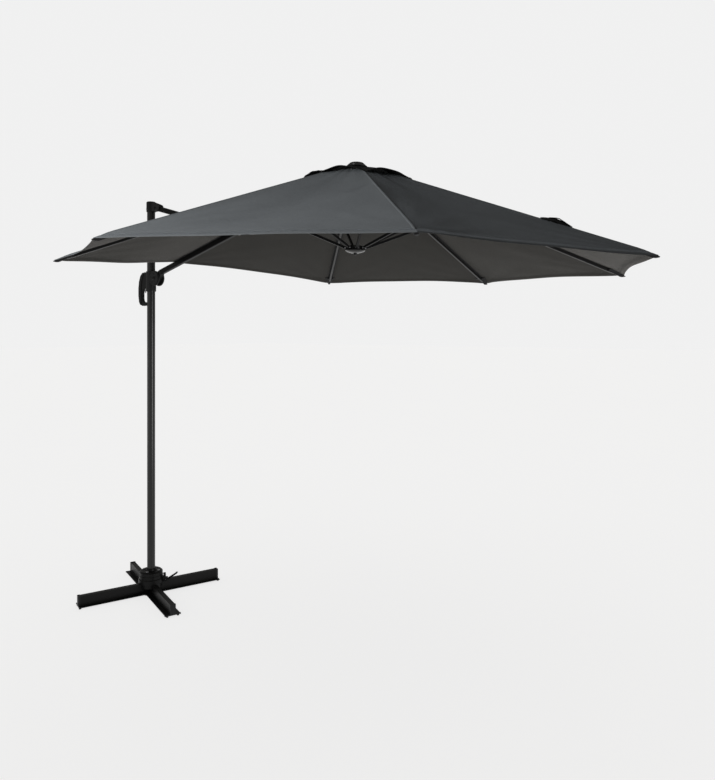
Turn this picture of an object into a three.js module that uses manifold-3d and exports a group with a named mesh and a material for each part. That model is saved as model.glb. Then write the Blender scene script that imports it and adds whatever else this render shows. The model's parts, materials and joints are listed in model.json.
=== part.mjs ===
// Cantilever parasol: cross base, swivelling mast, sliding grip, boom, tie strut and an eight-panel canopy.
// Millimetres, +Z up, +X from the mast towards the canopy, origin on the floor on the mast's axis.
import * as THREE from 'three';
import { mergeVertices } from 'three/addons/utils/BufferGeometryUtils.js';
import Module from 'manifold-3d';

const wasm = await Module();
wasm.setup();

const DEG = Math.PI / 180;
const GAP = 0.3; // between pieces that touch

// ---- driving dimensions -------------------------------------------------------------------------
const BASE_YAW = -19.75; // first leg, degrees from +X
const LEG_REACH = 430; // end of the steel beam
const WEB_W = 30; // the hat section's raised web
const FLANGE_W = 92; // over both flanges
const FLANGE_Z = 8; // underside of the flanges
const BEAM_TOP = 70;
const BEAM_T = 3.5;
const CAP_T = 15; // end cap's thickness
const DRUM_R = 78; // fixed drum of the hub
const DRUM_TOP = 118;
const TABLE_R = 72; // rotating flange
const TABLE_TOP = 146;
const PEDAL_YAW = 38;

const MAST_R = 25;
const MAST_T = 2;
const MAST_TOP = 2490;
const MAST_FOOT = 122;

const PIVOT_X = 60; // upper tie pivot and slider pivot, both on this vertical line
const TIE_TOP_Z = 2458;
const SLIDER_Z = 2011; // slider pivot, canopy open
const HUB_X = 1661; // canopy hub's centre
const HUB_Z = 2472;
const HUB_TILT = 1.2; // degrees, outer side low
const PIVOT_R = 50; // rib pivots round the hub, and stretcher pivots round the runner
const BOOM_RISE = 24.4; // boom axis above the slider pivot, measured upright
const BOOM_W = 26;
const BOOM_H = 32;
const BOOM_T = 1.6;
const TIE_DROP = 20; // tie's lower pivot below the boom axis
const TIE_W = 20;
const TIE_H = 32;
const FORK_L = 150; // fork plates, pivot to crotch

const CORNER_R = 1420; // canopy corner from the hub's axis
const RIDGE_RISE = 38; // where the ridges would meet, above the rib pivots
const RIDGE_SLOPE = 0.3627;
const CLOTH_T = 0.8;
const OPENING_R = 200; // top opening under the vent flap
const VENT_R = 280; // from the hub to the vent flap's corners on average
const VENT_OFFSET = 25;
const VENT_IN = 46;
const RIB_TIP_R = 1400;
const RIB_W = 12;
const RIB_H = 16;
const STRETCH = 530; // rib pivot to stretcher pivot, and the stretcher's own length
const LUG_DROP = 14; // stretcher pivot below the rib's axis

// ---- derived linkage geometry -------------------------------------------------------------------
const boomFootZ = SLIDER_Z + BOOM_RISE;
const boomEndX = HUB_X - PIVOT_R * Math.cos(HUB_TILT * DEG);
const boomEndZ = HUB_Z + PIVOT_R * Math.sin(HUB_TILT * DEG);
const boomAngle = Math.atan2(boomEndZ - boomFootZ, boomEndX - PIVOT_X); // radians above level
const boomOffset = BOOM_RISE * Math.cos(boomAngle); // boom axis from the slider pivot
const boomReach = (boomEndX - PIVOT_X) * Math.cos(boomAngle) + (boomEndZ - SLIDER_Z) * Math.sin(boomAngle);
const tieMidZ = (TIE_TOP_Z + SLIDER_Z) / 2;
const tieRun = (tieMidZ - boomFootZ + TIE_DROP / Math.cos(boomAngle)) / Math.tan(boomAngle);
const tieLength = Math.hypot(tieRun, TIE_TOP_Z - tieMidZ);
const tieAngle = Math.atan2(TIE_TOP_Z - tieMidZ, tieRun); // radians below level
const ribAngle = Math.atan2(RIDGE_SLOPE * RIB_TIP_R - RIDGE_RISE + 12, RIB_TIP_R - PIVOT_R);
const ribLength = (RIB_TIP_R - PIVOT_R) / Math.cos(ribAngle);
// the line from rib pivot to stretcher pivot, below the hub's plane
const lugAngle = ribAngle + Math.asin(LUG_DROP / STRETCH);
const lugX = Math.sqrt(STRETCH ** 2 - LUG_DROP ** 2);
const runnerDepth = 2 * STRETCH * Math.sin(lugAngle);
const boomInHub = boomAngle + HUB_TILT * DEG; // the boom's angle below the hub's plane
const boomLug = lugAngle - boomInHub;

// ---- small geometry helpers ---------------------------------------------------------------------
function solid(geometry) {
  const plain = new THREE.BufferGeometry();
  plain.setAttribute('position', geometry.getAttribute('position').clone());
  if (geometry.index) plain.setIndex(geometry.index.clone());
  const merged = mergeVertices(plain, 1e-4);
  return new wasm.Manifold(new wasm.Mesh({
    numProp: 3,
    vertProperties: new Float32Array(merged.getAttribute('position').array),
    triVerts: new Uint32Array(merged.index.array),
  }));
}

function geometryOf(manifold) {
  const out = manifold.getMesh();
  const g = new THREE.BufferGeometry();
  g.setAttribute('position', new THREE.BufferAttribute(new Float32Array(out.vertProperties), 3));
  g.setIndex(new THREE.BufferAttribute(new Uint32Array(out.triVerts), 1));
  const flat = g.toNonIndexed();
  flat.computeVertexNormals();
  return flat;
}

const add = (...parts) => parts.reduce((a, b) => a.add(b));
const cut = (body, ...tools) => tools.reduce((a, b) => a.subtract(b), body);

// A box between two corners.
function box(x0, x1, y0, y1, z0, z1) {
  const g = new THREE.BoxGeometry(x1 - x0, y1 - y0, z1 - z0);
  g.translate((x0 + x1) / 2, (y0 + y1) / 2, (z0 + z1) / 2);
  return solid(g);
}

// Cylinders along Y and along Z.
function drumY(x, z, r, y0, y1, n = 12) {
  const g = new THREE.CylinderGeometry(r, r, y1 - y0, n);
  g.translate(x, (y0 + y1) / 2, z);
  return solid(g);
}

function drumZ(x, y, r, z0, z1, n = 24, top = r) {
  const g = new THREE.CylinderGeometry(top, r, z1 - z0, n);
  g.rotateX(Math.PI / 2);
  g.translate(x, y, (z0 + z1) / 2);
  return solid(g);
}

// An outline in X and Z, drawn out along Y.
function slabXZ(points, y0, y1) {
  const g = new THREE.ExtrudeGeometry(new THREE.Shape(points.map(([x, z]) => new THREE.Vector2(x, z))), {
    depth: y1 - y0, bevelEnabled: false,
  });
  g.rotateX(Math.PI / 2);
  g.translate(0, y1, 0);
  return solid(g);
}

// An outline in Y and Z, drawn out along X.
function barX(points, x0, x1) {
  const g = new THREE.ExtrudeGeometry(new THREE.Shape(points.map(([y, z]) => new THREE.Vector2(y, z))), {
    depth: x1 - x0, bevelEnabled: false,
  });
  g.applyMatrix4(new THREE.Matrix4().makeBasis(
    new THREE.Vector3(0, 1, 0), new THREE.Vector3(0, 0, 1), new THREE.Vector3(1, 0, 0)));
  g.translate(x0, 0, 0);
  return solid(g);
}

// A rectangle with small chamfered corners, as outline points.
function chamfered(w, h, c, z = 0) {
  const [a, b] = [w / 2, h / 2];
  return [[-a + c, z - b], [a - c, z - b], [a, z - b + c], [a, z + b - c],
    [a - c, z + b], [-a + c, z + b], [-a, z + b - c], [-a, z - b + c]];
}

const materials = {};
function material(name, color, roughness, metalness) {
  materials[name] = new THREE.MeshStandardMaterial({ name, color, roughness, metalness });
}
material('frame', 0x26272a, 0.5, 0.6);
material('steel', 0x1f2022, 0.5, 0.6);
material('plastic', 0x17181a, 0.6, 0.0);
material('pins', 0x8d9094, 0.35, 0.9);
material('ring', 0xa9abad, 0.35, 0.8);
material('cloth', 0x53565a, 0.95, 0.0);
material('webbing', 0x141516, 0.9, 0.0);

const root = new THREE.Group();

function frameAt(parent, x, y, z, { yaw = 0, dip = 0 } = {}) {
  const turn = new THREE.Group();
  turn.position.set(x, y, z);
  turn.rotation.z = yaw;
  parent.add(turn);
  const lean = new THREE.Group();
  lean.rotation.y = dip; // positive lowers the +X side
  turn.add(lean);
  return lean;
}

function put(parent, name, manifold, look) {
  const mesh = new THREE.Mesh(manifold.isBufferGeometry ? manifold : geometryOf(manifold), materials[look]);
  mesh.name = name;
  parent.add(mesh);
  return mesh;
}

// ---- base ---------------------------------------------------------------------------------------
const base = frameAt(root, 0, 0, 0, { yaw: BASE_YAW * DEG });

function hatOutline(grow = 0) {
  const w = WEB_W / 2 + grow;
  const f = FLANGE_W / 2 + grow;
  const under = FLANGE_Z - grow / 2;
  const ledge = FLANGE_Z + BEAM_T + grow;
  const top = BEAM_TOP + grow;
  return [[-f, under], [f, under], [f, ledge], [w, ledge], [w, top], [-w, top], [-w, ledge], [-f, ledge]];
}

function hatBeam() {
  const inner = WEB_W / 2 - BEAM_T;
  const channel = box(-LEG_REACH - 1, LEG_REACH + 1, -inner, inner, 0, BEAM_TOP - BEAM_T);
  return cut(barX(hatOutline(), -LEG_REACH, LEG_REACH), channel);
}

const lapZ = 40; // the two beams are halved into each other at this height
const webGap = WEB_W / 2 + GAP;
put(base, 'base_beam_long', cut(hatBeam(), box(-webGap, webGap, -60, 60, lapZ, 80)), 'steel');
const crossBeam = frameAt(base, 0, 0, 0, { yaw: Math.PI / 2 });
const flangeGap = FLANGE_W / 2 + GAP;
put(crossBeam, 'base_beam_cross', cut(
  hatBeam(),
  box(-flangeGap, flangeGap, -60, 60, 0, FLANGE_Z + BEAM_T + GAP),
  box(-webGap, webGap, -60, 60, 0, lapZ + GAP),
), 'steel');

for (let i = 0; i < 4; i++) {
  const leg = frameAt(base, 0, 0, 0, { yaw: i * Math.PI / 2 });
  const shell = barX(hatOutline(1.5), LEG_REACH + GAP, LEG_REACH + CAP_T);
  const plug = barX(chamfered(WEB_W - 2 * BEAM_T - 0.8, 50, 2, 38), LEG_REACH - 22, LEG_REACH + 2);
  const foot = (y) => drumZ(LEG_REACH + 7, y, 7, 0, FLANGE_Z, 10);
  put(leg, `leg_cap_${i + 1}`, add(shell, plug, foot(-32), foot(32)), 'plastic');
}

// The drum stands on the crossing; its spindle carries the turntable.
const drum = add(
  drumZ(0, 0, DRUM_R, BEAM_TOP + GAP, 96, 36),
  drumZ(0, 0, DRUM_R, 96, 101, 36, 74),
  drumZ(0, 0, 74, 101, DRUM_TOP, 36),
  drumZ(0, 0, 16, DRUM_TOP, 190),
);
const saddle = (w) => cut(
  drumZ(0, 0, 68, 44, BEAM_TOP + GAP + 1),
  box(-80, 80, -w, w, 0, BEAM_TOP + GAP),
  box(-w, w, -80, 80, 0, BEAM_TOP + GAP),
);
put(base, 'base_drum', add(drum, saddle(webGap)), 'steel');
put(base, 'centre_foot', drumZ(0, 0, 58, 0, FLANGE_Z - GAP, 32), 'plastic');

// Swivel lock: a housing on the drum's side, a foot lever on a pin, and a plunger with a knob.
const lock = frameAt(root, 0, 0, 0, { yaw: PEDAL_YAW * DEG });
const PEDAL_X = 98;
const PEDAL_Z = 88;
const housing = cut(
  add(box(70, 104, -13, 13, 76, 100), box(70, 92, -13, 13, 100, 112)),
  drumZ(0, 0, DRUM_R + GAP, 60, 130, 36),
  box(84, 110, -6.3, 6.3, 70, 99),
  drumY(PEDAL_X, PEDAL_Z, 3.15, -20, 20),
);
put(lock, 'lock_housing', housing, 'plastic');
put(lock, 'pedal_pin', drumY(PEDAL_X, PEDAL_Z, 3, -13.5, 13.5), 'pins');
put(lock, 'lock_knob', add(
  drumZ(86, 0, 4, 112 + GAP, 118, 10),
  drumZ(86, 0, 9, 118, 127, 16, 7.5),
), 'plastic');
const pedalShape = add(
  drumY(PEDAL_X, PEDAL_Z, 8, -6, 6),
  slabXZ([[98, 82], [112, 84], [168, 124], [170, 129], [160, 129], [108, 96], [98, 96]], -4, 4),
  slabXZ([[146, 109], [167, 123.4], [171, 129], [160, 129.5], [142, 115]], -11, 11),
);
put(lock, 'foot_pedal', cut(pedalShape, drumY(PEDAL_X, PEDAL_Z, 3.15, -20, 20)), 'steel');

// ---- mast ---------------------------------------------------------------------------------------
const turntable = cut(
  add(drumZ(0, 0, TABLE_R, DRUM_TOP + GAP, 138, 36), drumZ(0, 0, TABLE_R, 138, TABLE_TOP, 36, 64),
    drumZ(0, 0, 34, TABLE_TOP, 158, 24, 30)),
  drumZ(0, 0, 16.3, 100, 200),
  drumZ(0, 0, MAST_R + GAP, MAST_FOOT, 200, 28),
);
put(root, 'turntable', turntable, 'steel');

const mast = cut(
  drumZ(0, 0, MAST_R, MAST_FOOT + GAP, MAST_TOP, 28),
  drumZ(0, 0, MAST_R - MAST_T, MAST_FOOT - 1, MAST_TOP + 1, 28),
);
put(root, 'mast_tube', mast, 'steel');

// Cap with two cheeks that hold the tie's upper pin.
const CHEEK_IN = 10.3;
const CHEEK_OUT = 18;
const nose = [
  [0, 2504], [22, 2501], [72, 2484], [96, 2474], [104, 2464], [103, 2450], [94, 2442], [70, 2440], [0, 2440],
];
const mastCap = cut(
  add(drumZ(0, 0, 29.5, 2440, 2499, 28), drumZ(0, 0, 29.5, 2499, 2504, 28, 26),
    slabXZ(nose, -CHEEK_OUT, CHEEK_OUT)),
  drumZ(0, 0, MAST_R + GAP, 2430, MAST_TOP + GAP, 28),
  box(34, 120, -CHEEK_IN, CHEEK_IN, 2430, 2520),
  drumY(PIVOT_X, TIE_TOP_Z, 4.15, -30, 30),
);
put(root, 'mast_cap', mastCap, 'plastic');
put(root, 'tie_pin_upper', add(drumY(PIVOT_X, TIE_TOP_Z, 4, -20, 20),
  drumY(PIVOT_X, TIE_TOP_Z, 7, 18 + GAP, 21), drumY(PIVOT_X, TIE_TOP_Z, 7, -21, -18 - GAP)), 'pins');

// ---- tie ----------------------------------------------------------------------------------------
const tie = frameAt(root, PIVOT_X, 0, TIE_TOP_Z, { dip: tieAngle });
const tieEye = cut(
  add(drumY(0, 0, TIE_H / 2, -10, 10), box(0, 44, -10, 10, -TIE_H / 2, TIE_H / 2),
    barX(chamfered(16, 20, 2), 44, 84)),
  drumY(0, 0, 4.15, -30, 30),
);
put(tie, 'tie_eye', tieEye, 'plastic');
const tubeEnd = tieLength - FORK_L - 26;
put(tie, 'tie_tube', cut(
  barX(chamfered(TIE_W, TIE_H, 3), 44 + GAP, tubeEnd),
  barX(chamfered(TIE_W - 3, TIE_H - 3, 2), 0, tubeEnd + 1),
), 'frame');
const plateIn = BOOM_W / 2 + 0.6;
const forkPlate = (y0, y1) => add(
  box(tubeEnd + GAP, tieLength, y0, y1, -12, 12), drumY(tieLength, 0, 12, y0, y1, 14));
const fork = cut(
  add(forkPlate(plateIn, plateIn + 4), forkPlate(-plateIn - 4, -plateIn),
    box(tubeEnd + GAP, tubeEnd + 26, -plateIn - 1, plateIn + 1, -12, 12),
    barX(chamfered(16, 20, 2), tubeEnd - 40, tubeEnd + 1)),
  drumY(tieLength, 0, 4.15, -30, 30),
);
put(tie, 'tie_fork', fork, 'plastic');

// ---- slider on the mast -------------------------------------------------------------------------
const CHEEK_R = 48;
const sleeve = cut(
  add(drumZ(0, 0, 31, SLIDER_Z - 84, SLIDER_Z + 48, 28),
    ...[14, -22].flatMap((y) => [
      box(0, PIVOT_X, y, y + 8, SLIDER_Z - 36, SLIDER_Z + 46),
      drumY(PIVOT_X, SLIDER_Z, CHEEK_R, y, y + 8, 32),
    ])),
  drumZ(0, 0, MAST_R + 0.35, SLIDER_Z - 100, SLIDER_Z + 60, 28),
  drumY(PIVOT_X, SLIDER_Z, 8.1, -30, 30, 20),
  slabXZ([[-60, SLIDER_Z - 90], [60, SLIDER_Z - 90], [60, SLIDER_Z - 66], [0, SLIDER_Z - 83],
    [-60, SLIDER_Z - 66]], -60, 60),
);
put(root, 'slider_sleeve', sleeve, 'plastic');

for (const side of [-1, 1]) {
  const [y0, y1] = side > 0 ? [22 + GAP, 26] : [-26, -22 - GAP];
  let disc = cut(drumY(PIVOT_X, SLIDER_Z, 43, y0, y1, 32), drumZ(0, 0, 31 + GAP, 1900, 2100, 28));
  for (let i = 0; i < 5; i++) {
    const a = (18 + 72 * i) * DEG;
    disc = cut(disc, drumY(PIVOT_X + 27 * Math.cos(a), SLIDER_Z + 27 * Math.sin(a), 4.5,
      side > 0 ? 24 : -30, side > 0 ? 30 : -24, 8));
  }
  put(root, side > 0 ? 'pivot_disc_left' : 'pivot_disc_right', disc, 'plastic');
}
put(root, 'boom_pin', drumY(PIVOT_X, SLIDER_Z, 8, -22, 22, 20), 'pins');

// D-shaped grip on the side away from the canopy, with a finger slot and a release lever in it.
const LEVER_X = -57;
const LEVER_Z = 1998;
const gripBack = [
  [-74, 2053], [-96, 2034], [-110, 2000], [-117, 1955], [-117, 1905], [-110, 1865], [-98, 1846],
];
const gripWeb = [[-34, 2050], [-52, 2056], ...gripBack, [-80, 1839], [-33, 1841], [-33, 1862], [-70, 1863],
  [-80, 1872], [-84, 1890], [-84, 1925], [-78, 1943], [-66, 1950], [-34, 1950]];
const gripPalm = [...gripBack, [-88, 1852], [-90, 1880], [-90, 1945], [-84, 2000], [-66, 2040]];
const grip = cut(
  add(slabXZ(gripWeb, -10, 10), slabXZ(gripPalm, -14, 14)),
  box(-76, -50, -3.3, 3.3, 1940, LEVER_Z + 8),
  drumY(LEVER_X, LEVER_Z, 2.65, -6.3, 6.3),
  drumZ(0, 0, 31 + GAP, 1900, 2070, 28),
);
put(root, 'grip', grip, 'plastic');
const leverPlate = add(drumY(LEVER_X, LEVER_Z, 5, -3, 3), drumY(LEVER_X, LEVER_Z, 2.5, -6, 6),
  slabXZ([[-61, LEVER_Z], [-53, LEVER_Z], [-54, 1930], [-58, 1922], [-62, 1930]], -3, 3));
put(root, 'release_lever', leverPlate, 'pins');

// ---- boom ---------------------------------------------------------------------------------------
const boom = frameAt(root, PIVOT_X, 0, SLIDER_Z, { dip: -boomAngle });
const bz = boomOffset; // boom axis in the boom's own frame
const TUBE_FROM = 62;
const TUBE_TO = boomReach - 40;
put(boom, 'boom_tube', cut(
  barX(chamfered(BOOM_W, BOOM_H, 3, bz), TUBE_FROM, TUBE_TO),
  barX(chamfered(BOOM_W - 2 * BOOM_T, BOOM_H - 2 * BOOM_T, 2, bz), TUBE_FROM - 1, TUBE_TO + 1),
), 'frame');
const bootEnd = TUBE_FROM - GAP;
const bootShape = [[-6, -25], [24, -20], [bootEnd, bz - 16], [bootEnd, bz + 15], [20, 31], [-4, 26]];
const boomPlug = chamfered(BOOM_W - 2 * BOOM_T - 0.8, BOOM_H - 2 * BOOM_T - 0.8, 2, bz);
const boomBoot = cut(
  add(drumY(0, 0, 27, -13.6, 13.6, 24), slabXZ(bootShape, -13.6, 13.6),
    barX(boomPlug, TUBE_FROM - 2, TUBE_FROM + 60)),
  drumY(0, 0, 8.1, -30, 30, 20),
);
put(boom, 'boom_boot', boomBoot, 'plastic');
const knuckle = cut(
  add(drumY(boomReach, bz, 11, -8, 8, 14), box(TUBE_TO + GAP, boomReach, -8, 8, bz - 11, bz + 11),
    barX(boomPlug, TUBE_TO - 50, TUBE_TO + 4)),
  drumY(boomReach, bz, 4.15, -30, 30),
);
put(boom, 'boom_knuckle', knuckle, 'plastic');

// Saddle under the boom for the tie's lower pin.
const tieX = tieRun * Math.cos(boomAngle) + (tieMidZ - SLIDER_Z) * Math.sin(boomAngle);
const tieZ = bz - TIE_DROP;
const tieSaddle = cut(
  add(box(tieX - 30, tieX + 30, -13, 13, bz - 22, bz - BOOM_H / 2 - GAP), drumY(tieX, tieZ, 9, -13, 13, 14)),
  barX(chamfered(BOOM_W + 2, BOOM_H + 2 * GAP, 0.1, bz), tieX - 40, tieX + 40),
  drumY(tieX, tieZ, 4.15, -30, 30),
);
put(boom, 'tie_saddle', tieSaddle, 'pins');
put(boom, 'tie_pin_lower', cut(
  add(drumY(tieX, tieZ, 4, -19, 19),
    drumY(tieX, tieZ, 7, plateIn + 4 + GAP, 20), drumY(tieX, tieZ, 7, -20, -plateIn - 4 - GAP)),
  box(tieX - 10, tieX + 10, -13.5, 13.5, bz - BOOM_H / 2 - GAP, bz),
), 'pins');

// Lug under the boom for its own stretcher.
const boomLugX = boomReach - STRETCH * Math.cos(boomLug);
const boomLugZ = bz - STRETCH * Math.sin(boomLug);
const lugTop = bz - BOOM_H / 2 - GAP;
const boomLugBody = add(
  box(boomLugX - 16, boomLugX + 16, -9, 9, lugTop - 4, lugTop),
  box(boomLugX - 8, boomLugX + 8, 4.3, 9, boomLugZ, lugTop - 3),
  box(boomLugX - 8, boomLugX + 8, -9, -4.3, boomLugZ, lugTop - 3),
  drumY(boomLugX, boomLugZ, 8, 4.3, 9), drumY(boomLugX, boomLugZ, 8, -9, -4.3),
  drumY(boomLugX, boomLugZ, 2, -9, 9),
);
put(boom, 'boom_lug', boomLugBody, 'plastic');

// ---- canopy frame -------------------------------------------------------------------------------
const hub = frameAt(root, HUB_X, 0, HUB_Z, { dip: HUB_TILT * DEG });
const armYaw = (k) => Math.PI + k * 45 * DEG; // arm 0 is the boom, the others are ribs

function turned(manifold, yaw) {
  const g = geometryOf(manifold);
  g.rotateZ(yaw);
  return solid(g);
}

// The outline of a lug rounded about x, z, closed by the points in back.
function tongue(x, z, r, back, turn = 0) {
  const rim = [-90, -45, 0, 45, 90].map((a) => (a + turn) * DEG);
  return [...rim.map((a) => [x + r * Math.cos(a), z + r * Math.sin(a)]), ...back];
}

function lugPair(inner, outer, pinR, r) {
  const plate = (y0, y1) => slabXZ(tongue(PIVOT_R, 0, r, [[30, r], [30, -r]]), y0, y1);
  return add(plate(inner, outer), plate(-outer, -inner), drumY(PIVOT_R, 0, pinR, -outer, outer));
}

let hubBody = add(drumZ(0, 0, 36, -12, 10), drumZ(0, 0, 24, -20, -12));
let runnerBody = drumZ(0, 0, 36, -10, 10);
for (let k = 0; k < 8; k++) {
  hubBody = add(hubBody, turned(k === 0 ? lugPair(8.3, 12, 4, 10) : lugPair(3.3, 6.3, 2.5, 7.5), armYaw(k)));
  runnerBody = add(runnerBody, turned(lugPair(3.3, 5.8, 2, 6.5), armYaw(k)));
}
put(hub, 'top_hub', hubBody, 'plastic');

const capProfile = [[0, 10 + GAP], [18, 10 + GAP], [18, 14.5], [55, 14.5], [56, 17], [34, 36.5], [31, 38],
  [0, 38.5]];
function lathe(profile, n) {
  const g = new THREE.LatheGeometry(profile.map(([r, z]) => new THREE.Vector2(r, z)), n);
  g.rotateX(Math.PI / 2);
  return solid(g);
}
put(hub, 'top_cap', lathe(capProfile, 24), 'plastic');

const runner = new THREE.Group();
runner.position.z = -runnerDepth;
hub.add(runner);
put(runner, 'runner_body', runnerBody, 'plastic');
const dishTop = -10 - GAP;
const dishProfile = [[9.5, dishTop], [9.5, -27], [16, -26.3], [27, -24], [38, -20.5], [46, -16.5], [50, -13],
  [50, dishTop], [9.5, dishTop]];
put(runner, 'runner_dish', lathe(dishProfile, 32), 'gloss');
put(runner, 'runner_knob', lathe([[0, dishTop], [0, -36], [5, -35.5], [8, -33.5], [9, -30], [9, dishTop],
  [0, dishTop]], 20), 'plastic');

function ribSolid() {
  const tipFrom = ribLength - 60;
  const tube = add(
    cut(
      barX(chamfered(RIB_W, RIB_H, 2), 18, tipFrom),
      barX(chamfered(RIB_W - 2.4, RIB_H - 2.4, 1.4), 26, tipFrom - 8),
      drumZ(tipFrom - 20, 0, 2, -9, -4, 8),
    ),
    slabXZ([[tipFrom - 1, 6.5], [tipFrom + 4, 7.6], [ribLength, 4], [ribLength, -3], [tipFrom + 4, -7.2],
      [tipFrom - 1, -6.5]], -5.5, 5.5),
  );
  const blade = add(drumY(0, 0, 7, -3, 3), box(0, 20, -3, 3, -7, 7));
  const lug = tongue(lugX, -LUG_DROP, 6, [[lugX + 6, -7], [lugX - 6, -7]], -90);
  const cheek = (y0, y1) => slabXZ(lug, y0, y1);
  return add(cut(add(tube, blade), drumY(0, 0, 2.6, -10, 10)),
    cheek(4.3, 6), cheek(-6, -4.3), drumY(lugX, -LUG_DROP, 2, -6, 6));
}

function stretcherSolid() {
  const bar = add(drumY(0, 0, 5, -4, 4), box(0, 16, -4, 4, -5, 5), box(12, STRETCH - 16, -5, 5, -6, 6),
    box(STRETCH - 18, STRETCH, -3, 3, -5, 5), drumY(STRETCH, 0, 5, -3, 3));
  return cut(bar, drumY(0, 0, 2.1, -10, 10), drumY(STRETCH, 0, 2.1, -10, 10));
}

const ribGeometry = geometryOf(ribSolid());
const stretcherGeometry = geometryOf(stretcherSolid());
for (let k = 0; k < 8; k++) {
  const arm = frameAt(hub, 0, 0, 0, { yaw: armYaw(k) });
  const pivot = frameAt(arm, PIVOT_R, 0, 0, { dip: ribAngle });
  if (k > 0) put(pivot, `rib_${k}`, ribGeometry, 'frame');
  const lugAt = frameAt(arm, PIVOT_R + STRETCH * Math.cos(lugAngle), 0, -STRETCH * Math.sin(lugAngle),
    { dip: Math.PI - lugAngle });
  put(lugAt, `stretcher_${k}`, stretcherGeometry, 'frame');
}

// ---- canopy cloth: one gore per arm, from mid-panel to mid-panel, with its piece of vent flap ----------
function ridgeZ(k, r) {
  return k % 8 === 0 ? BOOM_H / 2 + 5.5 - Math.tan(boomInHub) * (r - PIVOT_R) : RIDGE_RISE - RIDGE_SLOPE * r;
}

// The vent flap touches down just clear of the main cloth at each ridge, a little off centre. It swells
// beside the cap towards arm 1, and between the ridges it billows half-way out and lifts at its edge.
const VENT_TOP = 13;
const VENT_BILLOW = [12, 0, 6.5, 6.5, 19.5, 10, 10, 10];
const VENT_LIFT = [20, 10, 26, 26, 9.6, 20, 20, 20];
const ventFoot = (k) => VENT_R + VENT_OFFSET * Math.cos((150 + 45 * k) * DEG);
function ventZ(k, u) {
  const swell = 1.5 + 5 * Math.cos((k - 1) * 45 * DEG);
  const foot = ridgeZ(k, ventFoot(k)) + 3.5;
  return VENT_TOP * (1 - u) + foot * u + swell * Math.max(0, Math.sin(2 * Math.PI * u));
}
function ventArch(panel, u, w) {
  const rise = VENT_BILLOW[panel] * (4 * u * (1 - u)) ** 1.6 + VENT_LIFT[panel] * u ** 2;
  return rise * Math.abs(Math.sin(Math.PI * w)) ** (panel === 1 ? 0.4 : 1);
}

// A thin closed skin over a grid of points; across runs from one side edge to the other.
function skin(point, along, across) {
  const n = across + 1;
  const [position, index] = [[], []];
  for (const side of [0.5, -0.5]) {
    for (let i = 0; i <= along; i++) {
      for (let j = 0; j <= across; j++) {
        const [x, y, z] = point(i / along, j / across);
        position.push(x, y, z + side * CLOTH_T);
      }
    }
  }
  const under = (along + 1) * n;
  const quad = (a, b, c, d) => index.push(a, b, c, a, c, d);
  for (let i = 0; i < along; i++) {
    for (let j = 0; j < across; j++) {
      const a = i * n + j;
      quad(a, a + n, a + n + 1, a + 1);
      index.push(under + a, under + a + n + 1, under + a + n, under + a, under + a + 1, under + a + n + 1);
    }
    quad(i * n, under + i * n, under + (i + 1) * n, (i + 1) * n);
    quad(i * n + across, (i + 1) * n + across, under + (i + 1) * n + across, under + i * n + across);
  }
  for (let j = 0; j < across; j++) {
    const b = along * n + j;
    quad(j, j + 1, under + j + 1, under + j);
    quad(b, under + b, under + b + 1, b + 1);
  }
  const g = new THREE.BufferGeometry();
  g.setAttribute('position', new THREE.BufferAttribute(new Float32Array(position), 3));
  g.setIndex(index);
  return solid(g);
}

// How far the rim hangs below a straight edge, for the panel after each arm.
const RIM_DROP = [21, 15, 10, 17, 12, 4, 0, 4];

// A point on the canopy in arm k's own frame; v runs from -0.5 to 0.5 of a panel either side of the ridge.
function panelPoint(k, r, v, lift = 0, sag = 0) {
  const other = k + (v < 0 ? 7 : 1);
  const w = Math.abs(v);
  const side = Math.sign(v) || 1;
  const x = r * (1 - w) + r * w * Math.SQRT1_2;
  const y = side * (r * w * Math.SQRT1_2 - (w > 0.499 ? GAP / 2 : 0));
  return [x, y, ridgeZ(k, r) * (1 - w) + ridgeZ(other, r) * w + lift - sag * Math.sin(Math.PI * w)];
}

function goreSolid(k) {
  const main = skin((u, s) => {
    const v = s - 0.5;
    const edge = CORNER_R * (1 - 0.024 * Math.sin(Math.PI * Math.abs(v)));
    const drop = RIM_DROP[(k + (v < 0 ? 7 : 0)) % 8] * u * u;
    return panelPoint(k, OPENING_R + (edge - OPENING_R) * u, v, 0, 10 * Math.sin(Math.PI * u) + drop);
  }, 6, 6);
  const vent = skin((u, s) => {
    const w = Math.abs(s - 0.5);
    const other = (k + (s < 0.5 ? 7 : 1)) % 8;
    const foot = ventFoot(k) * (1 - w) + ventFoot(other) * w;
    const [x, y] = panelPoint(k, VENT_IN + (foot - VENT_IN) * u, s - 0.5);
    const level = ventZ(k, u) * (1 - w) + ventZ(other, u) * w;
    return [x, y, level + ventArch(s < 0.5 ? (k + 7) % 8 : k, u, w)];
  }, 4, 6);
  const tabR = ventFoot(k) - 12;
  const tab = box(tabR - 4, tabR + 4, -9, 9, ridgeZ(k, tabR), ridgeZ(k, tabR) + 4.5);
  const whole = add(main, vent, tab);
  return k === 0 ? cut(whole, box(690, 918, -22, 22, -400, 50)) : whole;
}

for (let k = 0; k < 8; k++) {
  put(frameAt(hub, 0, 0, 0, { yaw: armYaw(k) }), `gore_${k}`, goreSolid(k), 'cloth');
}

// Closing strap, bunched up beside the ridge opposite the mast.
const strapSeat = frameAt(hub, 0, 0, 0, { yaw: armYaw(4) });
const strapShape = [[955, 0], [1100, 0], [1092, 16], [1060, 20], [1010, 15], [968, 18]];
const strapOutline = strapShape.map(([r, up]) => [r, ridgeZ(4, r) + CLOTH_T / 2 + 0.5 + up]);
put(strapSeat, 'closing_strap', slabXZ(strapOutline, -10, 18), 'webbing');

export default root;
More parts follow.
